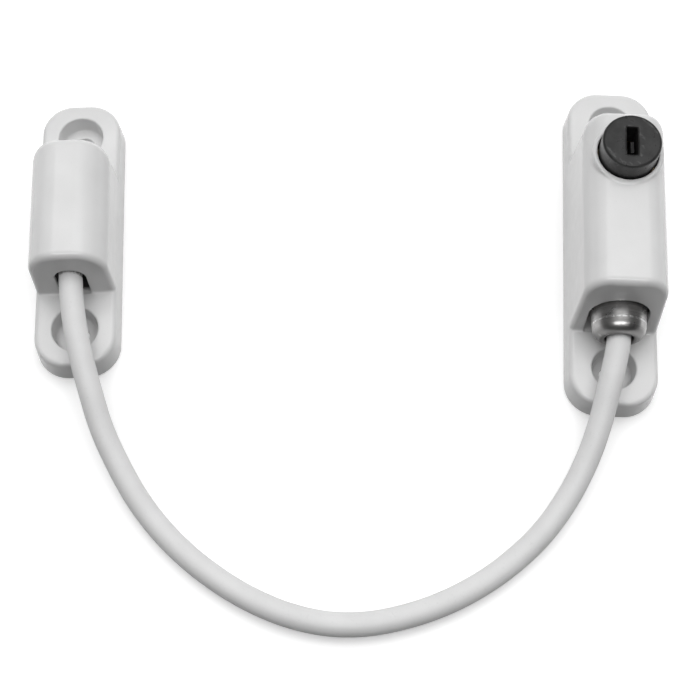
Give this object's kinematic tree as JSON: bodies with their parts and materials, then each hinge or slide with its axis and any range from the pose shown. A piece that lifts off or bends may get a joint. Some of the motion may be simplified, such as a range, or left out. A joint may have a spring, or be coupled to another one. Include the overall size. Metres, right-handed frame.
{
  "type": "window restrictor cable",
  "caption": "Key-locking body and anchor body joined by a coated steel cable loop that limits how far a window opens; the cable's plug pulls out when the button is unlocked.",
  "frame": {"origin": "on the plane that both bodies' backs lie on, under the middle of the box round the two bodies without the cable, its plug and its end ferrule", "axes": "+Z is the front of both bodies, out of the wall or window frame; +Y runs along the lock body from the plug socket to its upper screw hole; +X points from the anchor body to the lock body"},
  "size_m": [0.1377, 0.1259, 0.0327],
  "materials": {
    "white_gloss_paint": "gloss white powder coat on die-cast zinc",
    "white_cable_sheath": "smooth satin white sheath over steel rope",
    "grey_button": "satin dark grey",
    "turned_steel": "turned and polished stainless steel",
    "zinc_plate": "zinc-plated pressed steel",
    "spring_steel": "bright spring steel",
    "brass": "machined brass"
  },
  "bodies": {
    "lock_body": {"lock_housing": "white_gloss_paint", "lock_back_cover": "zinc_plate", "lock_cover_screw_1": "spring_steel", "lock_cover_screw_2": "spring_steel", "catch_plate": "zinc_plate", "catch_screw_1": "spring_steel", "catch_screw_2": "spring_steel"},
    "carrier": {"key_carrier": "brass", "return_spring": "spring_steel", "latch_plate": "zinc_plate", "carrier_circlip": "spring_steel"},
    "key_core": {"push_button": "grey_button", "key_core": "brass", "keyway_ward": "spring_steel", "wave_washer": "spring_steel", "locking_cam": "zinc_plate", "cam_screw": "spring_steel"},
    "cable": {"cable_plug": "turned_steel", "rope_end_in_plug": "spring_steel", "cable": "white_cable_sheath", "cable_end_ferrule": "turned_steel", "rope_end_in_anchor": "spring_steel"},
    "anchor_body": {"anchor_housing": "white_gloss_paint", "anchor_back_cover": "zinc_plate", "anchor_cover_screw_1": "spring_steel", "anchor_cover_screw_2": "spring_steel", "swivel_washer": "zinc_plate"}
  },
  "joints": [
    {"name": "button_push", "type": "slide", "parent": "lock_body", "child": "carrier", "axis": [0, 0, -1], "range_m": [0, 0.0042], "stiffness_N_per_m": 420, "springref_m": -0.004, "deforming": ["return_spring"]},
    {"name": "key_turn", "type": "hinge", "parent": "carrier", "child": "key_core", "pos_m": [0.05906, 0.01055, 0.02], "axis": [0, 0, -1], "range_deg": [0, 90]},
    {"name": "plug_pull", "type": "slide", "parent": "lock_body", "child": "cable", "axis": [0, -1, 0], "range_m": [0, 0.028]},
    {"name": "anchor_swivel", "type": "hinge", "parent": "cable", "child": "anchor_body", "pos_m": [-0.05474, -0.03497, 0.0133], "axis": [-0.0906, 0.9959, 0], "range_deg": [-20, 20]}
  ]
}
